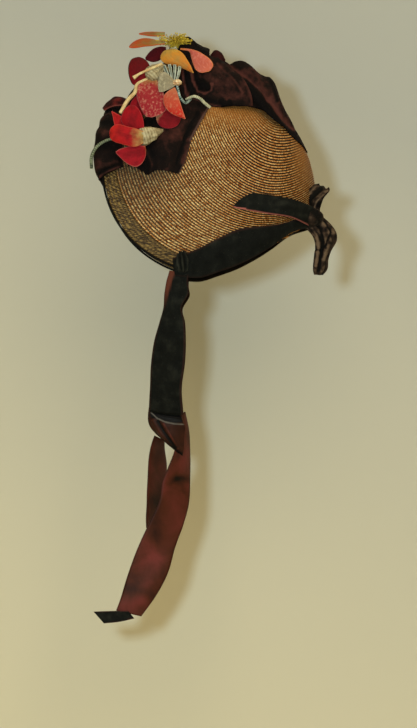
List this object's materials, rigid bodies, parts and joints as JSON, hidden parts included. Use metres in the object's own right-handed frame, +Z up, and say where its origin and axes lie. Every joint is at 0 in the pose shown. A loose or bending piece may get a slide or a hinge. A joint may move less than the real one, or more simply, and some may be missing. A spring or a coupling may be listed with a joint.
{
  "type": "straw hat",
  "caption": "Small close-fitting straw bonnet with velvet drapery, cloth flowers, a nape bow and velvet chin ties knotted under the chin.",
  "frame": {"origin": "highest point of the hollow crown on the middle plane, where the hat sits on the head", "axes": "+Z up, the face looks along -Y, +X is the wearer's left"},
  "size_m": [0.163, 0.2095, 0.5067],
  "materials": {
    "straw": "fine sewn straw plait",
    "olive_braid": "coarser olive straw braid",
    "black_velvet": "black velvet",
    "brown_velvet": "dark brown velvet",
    "bow_velvet": "worn brown-black velvet ribbon",
    "satin": "brown satin ribbon back",
    "red_cloth": "red cloth petals",
    "orange_cloth": "orange cloth petals",
    "pink_cloth": "pink-red cloth petals",
    "pale_stem": "pale wrapped stems",
    "sepal_cloth": "grey-green cloth sepals",
    "stamen": "yellow thread stamens"
  },
  "bodies": {
    "root": {"straw_shell": "straw", "front_braid": "olive_braid", "edge_binding": "black_velvet", "nape_band": "black_velvet", "bow_tail_left": "black_velvet", "bow_tail_right": "black_velvet", "bow_knot": "bow_velvet", "bow_upper_loop": "bow_velvet", "bow_lower_loop": "bow_velvet", "front_drape": "brown_velvet", "front_loop_left": "brown_velvet", "front_loop_right": "brown_velvet", "crown_drape": "brown_velvet", "back_puff": "brown_velvet", "top_ridge_loop": "brown_velvet", "small_puff": "brown_velvet", "front_loop_small": "brown_velvet", "calyx_a": "pale_stem", "calyx_b": "pale_stem", "stalk_c": "pale_stem", "spur_b1": "pale_stem", "spur_b2": "pale_stem", "stem_left": "pale_stem", "stem_right": "pale_stem", "stem_teal": "pale_stem", "stamens_c": "stamen", "knob_b": "pale_stem", "petal_c1": "orange_cloth", "petal_c2": "pink_cloth", "petal_c3": "orange_cloth", "petal_c4": "orange_cloth", "petal_c5": "red_cloth", "petal_b1": "red_cloth", "petal_b2": "pink_cloth", "petal_b3": "pink_cloth", "petal_b4": "red_cloth", "petal_b5": "red_cloth", "petal_a1": "red_cloth", "petal_a2": "red_cloth", "petal_a3": "red_cloth", "petal_a4": "red_cloth", "sepal_b": "sepal_cloth", "bract_b1": "sepal_cloth", "bract_b2": "sepal_cloth", "bract_b3": "sepal_cloth", "bract_b4": "sepal_cloth", "side_knot_left": "black_velvet", "side_knot_right": "black_velvet", "tie_left": "black_velvet", "tie_right": "black_velvet", "chin_wrap_left": "satin", "chin_wrap_right": "satin", "chin_loop": "black_velvet", "tail_front": "satin", "tail_back": "satin", "tail_front_end": "black_velvet"}
  },
  "joints": []
}
